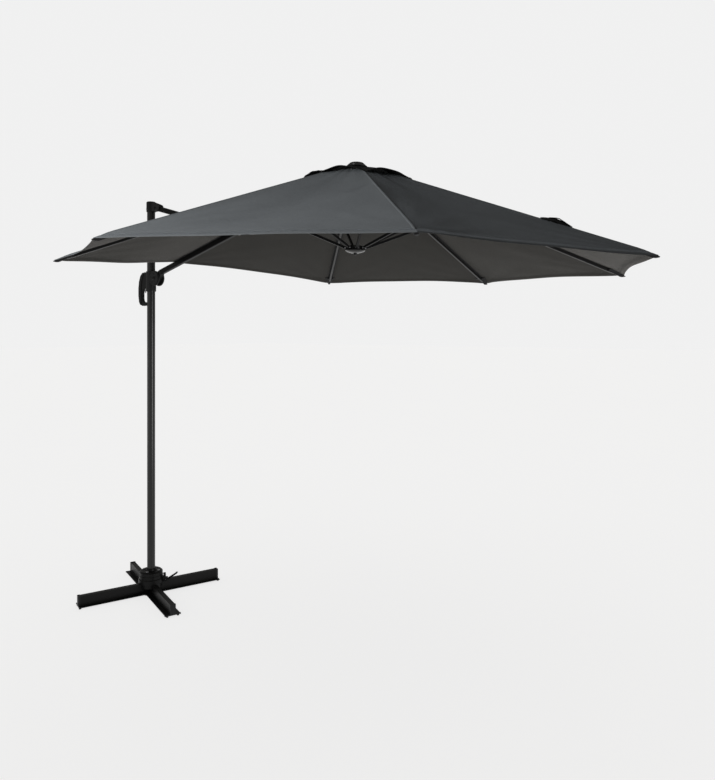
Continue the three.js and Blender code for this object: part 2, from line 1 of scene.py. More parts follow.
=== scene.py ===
"""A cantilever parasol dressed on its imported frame: canopy cloth, trim, fasteners, finishes and stage.
Metres, +Z up, +X from the mast towards the canopy, origin on the floor under the mast."""

import json
import math

import bpy
import numpy as np
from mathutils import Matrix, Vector

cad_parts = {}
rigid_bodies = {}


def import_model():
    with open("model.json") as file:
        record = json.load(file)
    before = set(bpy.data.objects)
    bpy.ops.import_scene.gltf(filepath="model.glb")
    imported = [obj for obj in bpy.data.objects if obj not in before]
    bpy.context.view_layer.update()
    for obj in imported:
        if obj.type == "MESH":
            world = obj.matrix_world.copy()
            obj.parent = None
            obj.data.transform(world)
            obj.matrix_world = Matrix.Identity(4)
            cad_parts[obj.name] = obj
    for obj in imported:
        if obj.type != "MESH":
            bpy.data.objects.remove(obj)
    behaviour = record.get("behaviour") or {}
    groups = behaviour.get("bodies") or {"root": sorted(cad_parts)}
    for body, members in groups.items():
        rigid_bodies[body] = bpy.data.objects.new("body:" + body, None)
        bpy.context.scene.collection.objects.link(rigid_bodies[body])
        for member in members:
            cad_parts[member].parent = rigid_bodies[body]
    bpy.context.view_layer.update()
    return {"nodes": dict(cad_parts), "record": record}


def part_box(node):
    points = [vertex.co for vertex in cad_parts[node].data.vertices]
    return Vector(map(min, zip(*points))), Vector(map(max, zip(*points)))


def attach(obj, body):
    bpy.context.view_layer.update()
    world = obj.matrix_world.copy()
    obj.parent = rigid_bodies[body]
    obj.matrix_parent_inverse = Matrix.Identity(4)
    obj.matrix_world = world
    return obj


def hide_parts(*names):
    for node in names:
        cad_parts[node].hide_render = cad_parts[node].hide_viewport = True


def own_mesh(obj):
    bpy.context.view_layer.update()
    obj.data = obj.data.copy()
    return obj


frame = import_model()
NODES = frame["nodes"]
JOINTS = {joint["name"]: joint for joint in frame["record"]["behaviour"]["joints"]}

# ---- where the frame is -------------------------------------------------------------------------


def pivot(name):
    return np.array(JOINTS[name]["pos_m"], float)


def axis(name):
    return np.array(JOINTS[name]["axis"], float)


# The ribs pivot round the hub: ribs 2 and 6 are opposite, and their axes give the hub's own X, Y and Z.
HUB = (pivot("rib_2_pivot") + pivot("rib_6_pivot")) / 2
HUB_AXES = np.column_stack([axis("rib_2_pivot"), axis("rib_4_pivot"),
                            np.cross(axis("rib_2_pivot"), axis("rib_4_pivot"))])
UP = HUB_AXES[:, 2]
PIVOT_R = float(np.linalg.norm(pivot("rib_2_pivot") - HUB))
SLIDE = pivot("slider_on_boom")
ARMS = range(8)
BOOM_ARM = 0
STRAP_ARM = 4
BODY = {k: "boom" if k == BOOM_ARM else f"arm_{k}" for k in ARMS}


def arm_axes(k):
    """The directions along arm k, across it, and up, as columns."""
    a = math.pi + k * math.pi / 4
    turn = np.array([[math.cos(a), -math.sin(a), 0], [math.sin(a), math.cos(a), 0], [0, 0, 1]])
    return HUB_AXES @ turn


def from_arm(k, points):
    """Points along, across and above arm k, in the row frame."""
    return np.asarray(points, float) @ arm_axes(k).T + HUB


def to_arm(k, points):
    return (np.asarray(points, float) - HUB) @ arm_axes(k)


def vertices(node):
    return np.array([v.co for v in NODES[node].data.vertices], float)


RIDGE_READ_FROM = 0.36  # along the arm; further in, the gore's mesh also has the vent flap


def ridge_of(k):
    """Height at the hub's axis and slope of the ridge over arm k, read from its gore."""
    p = to_arm(k, vertices(f"gore_{k}"))
    p = p[(np.abs(p[:, 1]) < 1e-4) & (p[:, 0] > RIDGE_READ_FROM)]
    slope, rise = np.polyfit(p[:, 0], p[:, 2], 1)
    return float(rise), float(-slope)


RIDGES = [ridge_of(k) for k in ARMS]
CORNER_R = float(max(to_arm(2, vertices("gore_2"))[:, 0]))

# ---- node materials -----------------------------------------------------------------------------


class Look:
    """A small builder of shader nodes on a Principled surface."""

    def __init__(self, name, colour, roughness, metallic=0.0, **extra):
        self.material = bpy.data.materials.new(name)
        self.material.use_nodes = True
        self.tree = self.material.node_tree
        self.surface = self.tree.nodes["Principled BSDF"]
        self.set("Base Color", (*colour, 1))
        self.set("Roughness", roughness)
        self.set("Metallic", metallic)
        for key, value in extra.items():
            self.set(key.replace("_", " ").title().replace("Ior", "IOR"), value)
        self.material.diffuse_color = (*colour, 1)

    def set(self, socket, value):
        self.surface.inputs[socket].default_value = value

    def add(self, kind, **settings):
        node = self.tree.nodes.new("ShaderNode" + kind)
        for key, value in settings.items():
            if key in node.inputs:
                node.inputs[key].default_value = value
            else:
                setattr(node, key, value)
        return node

    def link(self, a, b, out=0, into=0):
        self.tree.links.new(a.outputs[out], b.inputs[into])
        return b

    def place(self, coords, scale):
        """Coordinates stretched by scale: 'Object', or 'UV' on cloth, both in metres."""
        source = self.add("TexCoord")
        mapping = self.add("Mapping")
        mapping.inputs["Scale"].default_value = scale
        self.link(source, mapping, coords, "Vector")
        return mapping

    def noise(self, coords, scale, stretch=(1, 1, 1), detail=3.0, rough=0.55):
        node = self.add("TexNoise", Scale=scale, Detail=detail, Roughness=rough)
        self.link(self.place(coords, stretch), node, 0, "Vector")
        return node

    def ramp(self, source, low, high, out=0):
        """Source's value spread from 0 at low to 1 at high."""
        node = self.add("MapRange")
        node.inputs["From Min"].default_value = low
        node.inputs["From Max"].default_value = high
        self.link(source, node, out, "Value")
        return node

    def between(self, factor, a, b):
        """A colour from a to b by factor; a and b are colours or nodes."""
        node = self.add("Mix", data_type="RGBA")
        self.tree.links.new(factor.outputs[0], node.inputs[0])
        for index, value in ((6, a), (7, b)):
            if hasattr(value, "outputs"):
                self.tree.links.new(value.outputs[2 if value.bl_idname == "ShaderNodeMix" else 0],
                                    node.inputs[index])
            else:
                node.inputs[index].default_value = (*value, 1)
        return node

    def maths(self, operation, a, b):
        node = self.add("Math", operation=operation)
        for index, source in enumerate((a, b)):
            self.tree.links.new(source.outputs[0], node.inputs[index])
        return node

    def colour(self, mix):
        self.tree.links.new(mix.outputs[2], self.surface.inputs["Base Color"])

    def roughness(self, source, low, high):
        node = self.add("MapRange")
        node.inputs["To Min"].default_value = low
        node.inputs["To Max"].default_value = high
        self.link(source, node, 0, "Value")
        self.tree.links.new(node.outputs[0], self.surface.inputs["Roughness"])

    def bump(self, height, strength, distance, under=None):
        node = self.add("Bump")
        node.inputs["Strength"].default_value = strength
        node.inputs["Distance"].default_value = distance
        self.tree.links.new(height.outputs[0], node.inputs["Height"])
        if under is not None:
            self.tree.links.new(under.outputs[0], node.inputs["Normal"])
        self.tree.links.new(node.outputs[0], self.surface.inputs["Normal"])
        return node


def scaled(colour, factor):
    return tuple(min(1.0, c * factor) for c in colour)


def cloth(name, colour, sheen, specular, tint):
    """Woven polyester: plain weave at thread scale, slightly uneven dye, soft creases and faint dust."""
    look = Look(name, colour, 0.85, sheen_weight=sheen, sheen_roughness=0.28, specular_ior_level=specular)
    look.set("Sheen Tint", (*tint, 1))
    warp = look.add("TexWave", bands_direction="X", Scale=330.0, Distortion=0.6)
    weft = look.add("TexWave", bands_direction="Y", Scale=330.0, Distortion=0.6)
    for thread in (warp, weft):
        look.link(look.place("UV", (1, 1, 1)), thread, 0, "Vector")
    weave = look.maths("MULTIPLY", warp, weft)
    slub_a = look.noise("UV", 60, stretch=(1, 14, 1), detail=2.0)
    slub_b = look.noise("UV", 60, stretch=(14, 1, 1), detail=2.0)
    slubs = look.maths("ADD", slub_a, slub_b)
    dye = look.noise("UV", 3.2, detail=4.0)
    dust = look.noise("UV", 9, stretch=(1, 0.35, 1), detail=5.0, rough=0.65)
    threads = look.between(weave, scaled(colour, 0.82), scaled(colour, 1.12))
    dyed = look.between(look.ramp(dye, low=0.35, high=0.7), threads, scaled(colour, 1.16))
    worn = look.between(look.ramp(slubs, low=0.8, high=1.25), dyed, scaled(colour, 1.3))
    look.colour(look.between(look.ramp(dust, low=0.56, high=0.9), worn, scaled(colour, 1.5)))
    look.roughness(dust, low=0.78, high=0.95)
    creases = look.noise("UV", 14, stretch=(1, 0.5, 1), detail=3.0)
    look.bump(weave, 0.35, 0.0004, under=look.bump(creases, 0.12, 0.004))
    return look.material


def woven_tape(name, colour):
    """Ribbed webbing and edge binding."""
    look = Look(name, colour, 0.8, sheen_weight=0.03, sheen_roughness=0.4, specular_ior_level=0.25)
    ribs = look.add("TexWave", bands_direction="DIAGONAL", Scale=160.0, Distortion=0.3)
    look.link(look.place("Object", (1, 1, 1)), ribs, 0, "Vector")
    fuzz = look.noise("Object", 220, detail=4.0)
    worn = look.ramp(fuzz, low=0.35, high=0.8)
    look.colour(look.between(worn, scaled(colour, 0.75), scaled(colour, 1.7)))
    look.roughness(fuzz, low=0.7, high=0.95)
    look.bump(ribs, 0.4, 0.0006, under=look.bump(fuzz, 0.3, 0.0008))
    return look.material


def powder_coat(name, colour, specular, low, high):
    """Powder coat with orange peel, light handling marks and a little dust on faces that look up."""
    look = Look(name, colour, low, specular_ior_level=specular, coat_weight=0.03, coat_roughness=0.3)
    peel = look.noise("Object", 650, detail=2.0)
    marks = look.noise("Object", 9, stretch=(1, 1, 0.25), detail=6.0, rough=0.7)
    broad = look.noise("Object", 2.2, detail=2.0)
    tone = look.between(look.ramp(broad, low=0.3, high=0.7), scaled(colour, 0.86), scaled(colour, 1.2))
    rubbed = look.between(look.ramp(marks, low=0.62, high=0.86), tone, scaled(colour, 1.9))
    facing = look.add("SeparateXYZ")
    look.link(look.add("NewGeometry"), facing, "Normal", 0)
    upward = look.ramp(facing, low=0.6, high=1.0, out=2)
    dusty = look.maths("MULTIPLY", upward, look.ramp(marks, low=0.4, high=0.8))
    look.colour(look.between(dusty, rubbed, scaled(colour, 2.6)))
    look.roughness(marks, low, high)
    look.bump(peel, 0.16, 0.0006, under=look.bump(marks, 0.05, 0.001))
    return look.material


def moulded(name, colour, low, high, specular=0.2):
    """Injection-moulded plastic: spark-eroded grain, flow marks and pale scuffs."""
    look = Look(name, colour, low, specular_ior_level=specular)
    grain = look.noise("Object", 1500, detail=2.0)
    flow = look.noise("Object", 25, stretch=(1, 1, 0.3), detail=4.0)
    scuff = look.noise("Object", 70, stretch=(1, 0.2, 1), detail=5.0, rough=0.75)
    tone = look.between(look.ramp(flow, low=0.3, high=0.7), scaled(colour, 0.8), scaled(colour, 1.25))
    look.colour(look.between(look.ramp(scuff, low=0.66, high=0.9), tone, scaled(colour, 2.4)))
    look.roughness(flow, low, high)
    look.bump(grain, 0.22, 0.0003, under=look.bump(flow, 0.06, 0.001))
    return look.material


def bright_metal(name, colour, low, high):
    """Plated or turned metal with fine turning lines and a few dull patches."""
    look = Look(name, colour, low, metallic=1.0)
    lines = look.noise("Object", 900, stretch=(1, 0.05, 1), detail=2.0)
    dull = look.noise("Object", 60, detail=5.0)
    look.colour(look.between(look.ramp(dull, low=0.4, high=0.8), colour, scaled(colour, 0.55)))
    look.roughness(dull, low, high)
    look.bump(lines, 0.12, 0.0003)
    return look.material


CANOPY = (0.037, 0.0392, 0.0408)
# The inner skin is a darker, warmer copy of the canopy colour; its darkness is painted shade for the
# canopy's shaded underside.
CANOPY_INNER_PAINTED_SHADE = (0.0235, 0.0225, 0.0200)
# The vent flaps' near-black is painted shade: it stands in for the shadow the flaps lie in.
VENT_PAINTED_SHADE = (0.006, 0.0061, 0.0062)
COAT = (0.0085, 0.0085, 0.0085)
LOOKS = {
    "outer": cloth("canopy_cloth_outer", CANOPY, sheen=0.02, specular=0.05, tint=(0.85, 0.92, 1.0)),
    "inner": cloth("canopy_cloth_inner_painted_shade", CANOPY_INNER_PAINTED_SHADE, sheen=0.12, specular=0.2, tint=(1.0, 0.95, 0.9)),
    "vent": cloth("canopy_cloth_vent_painted_shade", VENT_PAINTED_SHADE, sheen=0.0, specular=0.02, tint=(0.9, 0.95, 1.0)),
    "binding": woven_tape("edge_binding", (0.0085, 0.0085, 0.009)),
    "webbing": woven_tape("strap_webbing", (0.007, 0.007, 0.0075)),
    "frame": powder_coat("frame_powder_coat", COAT, specular=0.04, low=0.26, high=0.38),
    "rib": powder_coat("rib_powder_coat", COAT, specular=0.3, low=0.26, high=0.38),
    "mast": powder_coat("mast_powder_coat", (0.008, 0.008, 0.0078), specular=0.35, low=0.2, high=0.3),
    "steel": powder_coat("base_powder_coat", (0.0045, 0.0044, 0.0043), specular=0.12, low=0.34, high=0.48),
    "plastic": moulded("black_plastic", (0.0065, 0.0066, 0.0068), low=0.4, high=0.56),
    "soft": moulded("soft_grip", (0.0075, 0.0075, 0.0075), low=0.6, high=0.8),
    "pins": bright_metal("plated_pins", (0.32, 0.32, 0.33), low=0.3, high=0.5),
    "gloss": moulded("gloss_plastic", (0.004, 0.004, 0.004), low=0.05, high=0.12, specular=0.3),
}

# ---- mesh helpers -------------------------------------------------------------------------------


def piece(name, points, faces, looks, body, slot, face_looks=None, uv=None, smooth=True):
    """A mesh in the row frame that rides on body."""
    mesh = bpy.data.meshes.new(name)
    mesh.from_pydata([tuple(map(float, p)) for p in points], [], faces)
    mesh.update()
    for look in looks:
        mesh.materials.append(LOOKS[look])
    if face_looks is not None:
        mesh.polygons.foreach_set("material_index", np.asarray(face_looks, np.int32))
    if uv is not None:
        layer = mesh.uv_layers.new(name="UVMap")
        corners = np.zeros(len(mesh.loops), np.int32)
        mesh.loops.foreach_get("vertex_index", corners)
        layer.data.foreach_set("uv", np.asarray(uv, np.float32)[corners].ravel())
    mesh.polygons.foreach_set("use_smooth", np.full(len(mesh.polygons), smooth))
    obj = bpy.data.objects.new(name, mesh)
    bpy.context.scene.collection.objects.link(obj)
    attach(obj, body)
    return obj


def mark_sharp(obj, degrees):
    obj.data.set_sharp_from_angle(angle=math.radians(degrees))


def closed_sheet(top, under, uv):
    """Points, faces, looks and uv of a sheet with an outer skin, an inner skin and edges."""
    rows, cols = top.shape[:2]
    n = rows * cols
    at = np.arange(n).reshape(rows, cols)
    a, b, c, d = at[:-1, :-1], at[1:, :-1], at[1:, 1:], at[:-1, 1:]
    outer = np.stack([a, b, c, d], -1).reshape(-1, 4)
    inner = np.stack([a, d, c, b], -1).reshape(-1, 4) + n
    loop = np.concatenate([at[0, :], at[1:, -1], at[-1, -2::-1], at[-2:0:-1, 0]])
    after = np.roll(loop, -1)
    rim = np.stack([loop, after, after + n, loop + n], -1)
    faces = np.concatenate([outer, inner, rim])
    looks = np.concatenate([np.zeros(len(outer)), np.ones(len(inner)), np.zeros(len(rim))])
    points = np.concatenate([top.reshape(-1, 3), under.reshape(-1, 3)])
    flat = np.concatenate([uv.reshape(-1, 2)] * 2)
    return points, faces.tolist(), looks, flat


def triangle_areas(p, q, r):
    return np.linalg.norm(np.cross(q - p, r - p), axis=-1).sum() / 2


def area_of(grid):
    """The area of a grid of points."""
    a, b, c, d = grid[:-1, :-1], grid[1:, :-1], grid[1:, 1:], grid[:-1, 1:]
    return float(triangle_areas(a, b, c) + triangle_areas(a, c, d))


def tube_faces(rings, sides):
    """Faces of a solid through rings of points that run anticlockwise about its direction."""
    faces = []
    for start in range(0, (rings - 1) * sides, sides):
        for j in range(sides):
            after = (j + 1) % sides
            faces.append([start + j, start + after, start + sides + after, start + sides + j])
    last = (rings - 1) * sides
    return faces + [list(range(sides))[::-1], [last + j for j in range(sides)]]


def sweep(path, outline):
    """Points and faces of an outline (across, up) swept along a path, upright to the hub."""
    path = np.asarray(path, float)
    points = []
    for i, p in enumerate(path):
        ahead = path[min(i + 1, len(path) - 1)] - path[max(i - 1, 0)]
        ahead /= np.linalg.norm(ahead)
        side = np.cross(UP, ahead)
        side /= np.linalg.norm(side)
        over = np.cross(ahead, side)
        points += [p + side * s + over * z for s, z in outline]
    return points, tube_faces(len(path), len(outline))


def flat_section(half_width, half_thick):
    return [(-half_width, -half_thick), (half_width, -half_thick), (half_width, half_thick),
            (-half_width, half_thick)]


def turned_solid(profile, centre, along, sides):
    """Points and faces of a profile (radius, height) turned about a line, closed at both ends."""
    along = Vector(along).normalized()
    first = along.orthogonal().normalized()
    second = along.cross(first)
    points = []
    for r, h in profile:
        for i in range(sides):
            a = 2 * math.pi * i / sides
            points.append(Vector(centre) + along * h + (first * math.cos(a) + second * math.sin(a)) * r)
    return points, tube_faces(len(profile), sides)


def joined(parts):
    """Several (points, faces) as one."""
    points, faces = [], []
    for more_points, more_faces in parts:
        start = len(points)
        points += [tuple(map(float, p)) for p in more_points]
        faces += [[start + i for i in f] for f in more_faces]
    return points, faces


def smooth_step(x):
    x = np.clip(x, 0, 1)
    return x * x * (3 - 2 * x)


# ---- canopy surface -----------------------------------------------------------------------------
# A panel lies between arm p and arm p + 1; w runs across it from 0 to 1 and r is measured along its ridges.
OPENING_R = 0.2
RIB_TIP_R = 1.4
DIAGONAL = math.sqrt(0.5)  # arms are 45 degrees apart
PANEL_WIDTH = 2 * math.sin(math.pi / 8)  # across a panel at 1 m along its ridges
SAG = 0.013
SCALLOP = 0.024  # of the corner's radius, at the middle of a panel
RIM_DROP = [0.021, 0.015, 0.010, 0.017, 0.012, 0.004, 0.0, 0.004]  # of the rim's middle, by panel
CORNER_DROOP = 0.005  # past the rib's tip, where only cloth is left
FOLD_HEIGHT = 0.0024
PUCKER_HEIGHT = 0.0016
RIPPLE_HEIGHT = 0.0012
CREASE_PANEL = 2
CREASE_DEPTH = 0.0035
EASE = 0.06  # relief starts this far from a ridge


def ridge_height(k, r):
    rise, slope = RIDGES[k % 8]
    droop = 0.0 if k % 8 == BOOM_ARM else CORNER_DROOP
    return rise - slope * r - droop * smooth_step((r - (RIB_TIP_R - 0.05)) / 0.07)


def corner_folds(p, across, r, phase):
    """Shallow folds that fan out from one corner of panel p."""
    to_rim = CORNER_R - r
    reach = np.hypot(to_rim, across)
    fan = np.arctan2(across, to_rim + 1e-4)
    fading = np.exp(-reach / 0.26) * smooth_step(reach / 0.08) * smooth_step(across / EASE)
    return FOLD_HEIGHT * np.sin(15 * fan + 1.7 * p + phase) * fading


def crease(second, r):
    """A soft crease that runs out from a panel's second ridge, at a distance of second from it."""
    line = np.clip((r - 0.56) / 0.16, 0, 1)
    off = second - 0.2 * line * r * PANEL_WIDTH
    ends = smooth_step((r - 0.52) / 0.08) * smooth_step((0.78 - r) / 0.1) * smooth_step(second / 0.02)
    return CREASE_DEPTH * np.exp(-(off / 0.014) ** 2) * ends


def relief(p, w, r):
    """How far a panel stands above the straight lines between its ridges."""
    u = np.clip((r - OPENING_R) / (CORNER_R - OPENING_R), 0, 1)
    first, second = w * r * PANEL_WIDTH, (1 - w) * r * PANEL_WIDTH  # from each ridge
    free = smooth_step(first / EASE) * smooth_step(second / EASE)
    height = -(SAG * np.sin(np.pi * u ** 0.85) + RIM_DROP[p] * u * u) * np.sin(np.pi * w)
    height = height + corner_folds(p, first, r, 0.0) + corner_folds(p, second, r, 2.1)
    puckers = PUCKER_HEIGHT * np.sin(10 * np.pi * w + p) * np.exp(-(r - OPENING_R) / 0.14)
    ripples = (np.sin(5.1 * r + 2.3 * p + 3.0 * w) + np.sin(9.7 * r - 5.2 * w + 1.3 * p)
               + np.sin(4 * np.pi * w + 3.1 * r + p))
    height = height + free * (puckers + RIPPLE_HEIGHT * ripples)
    return height - crease(second, r) if p == CREASE_PANEL else height


def canopy_point(k, r, v, surface):
    """A point in arm k's own frame; v is the share across from the ridge, negative towards arm k - 1."""
    w = np.abs(v)
    side = np.where(v < 0, -1.0, 1.0)
    x = r * (1 - w) + r * w * DIAGONAL
    y = side * r * w * DIAGONAL
    after, before = surface(r, w, k), surface(r, 1 - w, k - 1)
    return np.stack([x, y, np.where(v < 0, before, after)], -1)


def main_surface(r, w, p):
    p = p % 8
    return ridge_height(p, r) * (1 - w) + ridge_height(p + 1, r) * w + relief(p, w, r)


def main_rim(k, share):
    return CORNER_R * (1 - SCALLOP * np.sin(np.pi * np.abs(share)))


# The vent flap lies a little off centre. It billows half-way out and lifts at its edge, by panel, and
# swells beside the cap towards arm 1.
VENT_IN = 0.046
VENT_MEAN_R, VENT_OFFSET, VENT_TOWARDS = 0.280, 0.025, 150
VENT_FOOT = [VENT_MEAN_R + VENT_OFFSET * math.cos(math.radians(VENT_TOWARDS + 45 * k)) for k in ARMS]
VENT_TOP = 0.013
VENT_BILLOW = [0.012, 0.0, 0.0065, 0.0065, 0.0195, 0.010, 0.010, 0.010]
VENT_LIFT = [0.020, 0.016, 0.026, 0.026, 0.0096, 0.020, 0.020, 0.020]
VENT_CLEAR = 0.0035  # above the main cloth, where the flap touches down
VENT_SQUARE_PANEL = 1  # this panel's arch is fuller at its sides
FLUTTER = 0.0014


def vent_rim(k, share):
    """How far out the vent flap reaches beside arm k."""
    w = np.abs(share)
    other = np.where(share < 0, VENT_FOOT[(k + 7) % 8], VENT_FOOT[(k + 1) % 8])
    return VENT_FOOT[k] * (1 - w) + other * w


def vent_swell(k, u):
    return (0.0015 + 0.005 * math.cos((k - 1) * math.pi / 4)) * np.maximum(0, np.sin(2 * np.pi * u))


def vent_surface(r, w, p):
    """The vent flap touches down at each ridge and arches up between them."""
    p = p % 8
    foot, next_foot = VENT_FOOT[p], VENT_FOOT[(p + 1) % 8]
    u = np.clip((r - VENT_IN) / (foot * (1 - w) + next_foot * w - VENT_IN), 0, 1)
    here, there = ridge_height(p, foot) + VENT_CLEAR, ridge_height(p + 1, next_foot) + VENT_CLEAR
    down = here * (1 - w) + there * w
    swell = vent_swell(p, u) * (1 - w) + vent_swell(p + 1, u) * w
    across = np.abs(np.sin(np.pi * w)) ** (0.4 if p == VENT_SQUARE_PANEL else 1.0)
    arch = (VENT_BILLOW[p] * (4 * u * (1 - u)) ** 1.6 + VENT_LIFT[p] * u ** 2) * across
    flutter = FLUTTER * u * np.sin(4 * np.pi * w + 1.3 * p) * smooth_step(np.minimum(w, 1 - w) / 0.2)
    return VENT_TOP * (1 - u) + down * u + swell + arch + flutter


# ---- canopy cloth -------------------------------------------------------------------------------
HEM_STEPS = (0.97, 0.5, 0.06, 0.0)  # shares of the hem's depth
HEM_EXTRA = 0.0007  # thicker by this much on each side


def sheet_grid(k, surface, r_in, rim, v, rows, hem, thick):
    """The middle, outer and inner skins, and uv in metres, of one piece of cloth over arm k.
    rim gives the radius of its outer edge from the share across; v is the share across, as a row or as a
    function of r."""
    u = np.linspace(0, 1, rows)
    ridge_r = r_in + (float(np.max(rim(k, np.array([0.0])))) - r_in) * u
    share = v(ridge_r) if callable(v) else np.broadcast_to(v, (rows, len(v)))
    edge = rim(k, share)
    r = r_in + (edge - r_in - hem) * u[:, None]
    r = np.concatenate([r, np.stack([edge[-1] - hem * step for step in HEM_STEPS])])
    share = np.concatenate([share, np.repeat(share[-1:], len(HEM_STEPS), 0)])
    half = np.full(r.shape, thick / 2)
    half[-4:-1] += HEM_EXTRA
    middle = canopy_point(k, r, share, surface)
    lift = half[..., None] * np.array([0, 0, 1.0])
    uv = np.stack([middle[..., 1], r], -1)
    return middle, middle + lift, middle - lift, uv


def canopy_piece(name, k, surface, r_in, rim, v, rows, hem=0.024, thick=0.0009,
                 dress=("outer", "inner")):
    middle, top, under, uv = sheet_grid(k, surface, r_in, rim, v, rows, hem, thick)
    points, faces, looks, flat = closed_sheet(from_arm(k, top), from_arm(k, under), uv)
    obj = piece(name, points, faces, dress, BODY[k], "cloth", looks, flat)
    # the ridge is a real fold line, and the skins meet their edges in a crease
    rows_all, cols = middle.shape[:2]
    n = rows_all * cols
    has_ridge = not callable(v) and (np.abs(v) < 1e-9).any()
    ridge = int(np.argmin(np.abs(v))) if has_ridge else -1
    for edge in obj.data.edges:
        (i, a), (j, b) = (divmod(x % n, cols) for x in edge.vertices)
        same_skin = edge.vertices[0] // n == edge.vertices[1] // n
        at_end = i == j and i in (0, rows_all - 1)
        at_side = a == b and a in (0, cols - 1)
        edge.use_edge_sharp = same_skin and (at_end or at_side or a == b == ridge)
    return obj, area_of(from_arm(k, middle))


def gather(obj):
    """Gives the piece its own copy of its mesh."""
    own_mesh(obj)


def share_at(y, r):
    """The share across a panel of a point y metres beside the ridge, at r."""
    return y / (DIAGONAL * r)


# Over the boom the cloth has a slot for the tie, so a narrow strip in two lengths lies between two flaps.
SLOT_HALF, SLOT_FROM, SLOT_TO = 0.022, 0.680, 0.918
HALF_PANELS = np.linspace(-0.5, 0.5, 33)
FLAP_ACROSS = np.linspace(0, 1, 17)
STRIP_ACROSS = np.linspace(-1, 1, 9)
GORE_ROWS = 56


def flap_shares(side):
    """Shares from the middle of a panel to the slot, in rising order."""
    def shares(r):
        slot_edge = share_at(side * SLOT_HALF, r)[:, None]
        return (slot_edge * (1 - FLAP_ACROSS) + side * 0.5 * FLAP_ACROSS)[:, ::side]
    return shares


def strip_shares(r):
    return STRIP_ACROSS[None, :] * share_at(SLOT_HALF, r)[:, None]


def strip_inner_rim(k, share):
    return np.full(np.shape(share), SLOT_FROM)


for side, name in ((-1, "right"), (1, "left")):
    flap, area = canopy_piece(f"canopy_boom_flap_{name}", BOOM_ARM, main_surface, OPENING_R, main_rim,
                              flap_shares(side), GORE_ROWS)
    gather(flap)
    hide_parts("gore_0")
for name, r_in, rim, r_out, rows, hem in (
        ("inner", OPENING_R, strip_inner_rim, SLOT_FROM, 24, 0.004),
        ("outer", SLOT_TO, main_rim, CORNER_R, 26, 0.024)):
    strip, area = canopy_piece(f"canopy_boom_strip_{name}", BOOM_ARM, main_surface, r_in, rim,
                               strip_shares, rows, hem)
for k in range(1, 8):
    gore, area = canopy_piece(f"canopy_gore_{k}", k, main_surface, OPENING_R, main_rim, HALF_PANELS,
                              GORE_ROWS)
    gather(gore)
    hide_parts(f"gore_{k}")

VENT_ACROSS = np.linspace(-0.5, 0.5, 25)
# The flaps wear the near-black vent cloth, which is painted shade.
for k in ARMS:
    flap, area = canopy_piece(f"vent_flap_{k}", k, vent_surface, VENT_IN, vent_rim, VENT_ACROSS,
                              rows=18, hem=0.014, thick=0.001, dress=("vent", "vent"))
    gather(flap)

# ---- canopy trim --------------------------------------------------------------------------------
SEAM_FROM, SEAM_TO = OPENING_R + 0.02, CORNER_R - 0.03
SLOT_GAP = 0.006
RIDGE_TAPE_HALF = 0.006
RIDGE_TAPE_GAP = 0.004
# Half widths of the black strips of painted shade under the seams.
SHADE_STRIP_HALF, BOOM_SHADE_STRIP_HALF = 0.016, 0.034


def over_ridge(k, r, y, lift):
    """A point on the outer skin, y beside the ridge of arm k, raised by lift, in the arm's own frame."""
    share = share_at(y, r)
    x = r * (1 - abs(share) * (1 - DIAGONAL))
    p, w = (k, share) if share >= 0 else (k - 1, 1 + share)
    z = float(main_surface(np.array([r]), np.array([w]), p)[0])
    return np.array([x, y, z + lift])


def tape(name, k, r_from, r_to, half, lift=0.0006, look="outer", steps=40, under=0.0):
    """A flat tape sewn along the ridge of arm k, following the cloth on both sides."""
    across = np.array([-1, -0.72, -0.3, 0, 0.3, 0.72, 1]) * half
    crown = [0.0004 if abs(y) < half * 0.9 else 0 for y in across]
    rs = np.linspace(r_from, r_to, steps)
    top = np.array([[over_ridge(k, r, y, lift + more) for y, more in zip(across, crown)] for r in rs])
    below = np.array([[over_ridge(k, r, y, under) for y in across] for r in rs])
    uv = np.stack(np.broadcast_arrays(across[None, :], rs[:, None]), -1)
    points, faces, looks, flat = closed_sheet(from_arm(k, top), from_arm(k, below), uv)
    slot = "cloth" if look == "outer" else "webbing"
    return piece(name, points, faces, [look, look], BODY[k], slot, looks, flat)


for k in ARMS:
    if k == BOOM_ARM:
        tape("ridge_tape_0_inner", k, SEAM_FROM, SLOT_FROM - RIDGE_TAPE_GAP, RIDGE_TAPE_HALF)
        tape("ridge_tape_0_outer", k, SLOT_TO + RIDGE_TAPE_GAP, SEAM_TO, RIDGE_TAPE_HALF)
    else:
        tape(f"ridge_tape_{k}", k, SEAM_FROM, SEAM_TO, RIDGE_TAPE_HALF, steps=56)

# A black strip under every seam is painted shade: it stands in for the shadow along each rib and the boom.
# It is widest over the boom, where it has two lengths.
for k in ARMS:
    spans = [(SEAM_FROM, SEAM_TO)]
    if k == BOOM_ARM:
        spans = [(SEAM_FROM, SLOT_FROM - SLOT_GAP), (SLOT_TO + SLOT_GAP, SEAM_TO)]
    for end, (r_from, r_to) in zip(("inner", "outer"), spans):
        half = BOOM_SHADE_STRIP_HALF if k == BOOM_ARM else SHADE_STRIP_HALF
        shade_strip = tape(f"painted_shade_strip_{k}_{end}", k, r_from, r_to, half, lift=-0.0009, look="webbing",
                       under=-0.0016)
        gather(shade_strip)


def vent_binding(k, width=0.007, half_thick=0.0013):
    """A folded binding along the free edge of the vent flap over arm k."""
    middle = canopy_point(k, vent_rim(k, VENT_ACROSS) - 0.001, VENT_ACROSS, vent_surface)
    outline = [(-width, -half_thick), (0.0, -half_thick), (half_thick, 0), (0.0, half_thick),
               (-width, half_thick)]
    points, faces = sweep(from_arm(k, middle), outline)
    obj = piece(f"vent_binding_{k}", points, faces, ["binding"], BODY[k], "webbing")
    mark_sharp(obj, 50)
    return obj


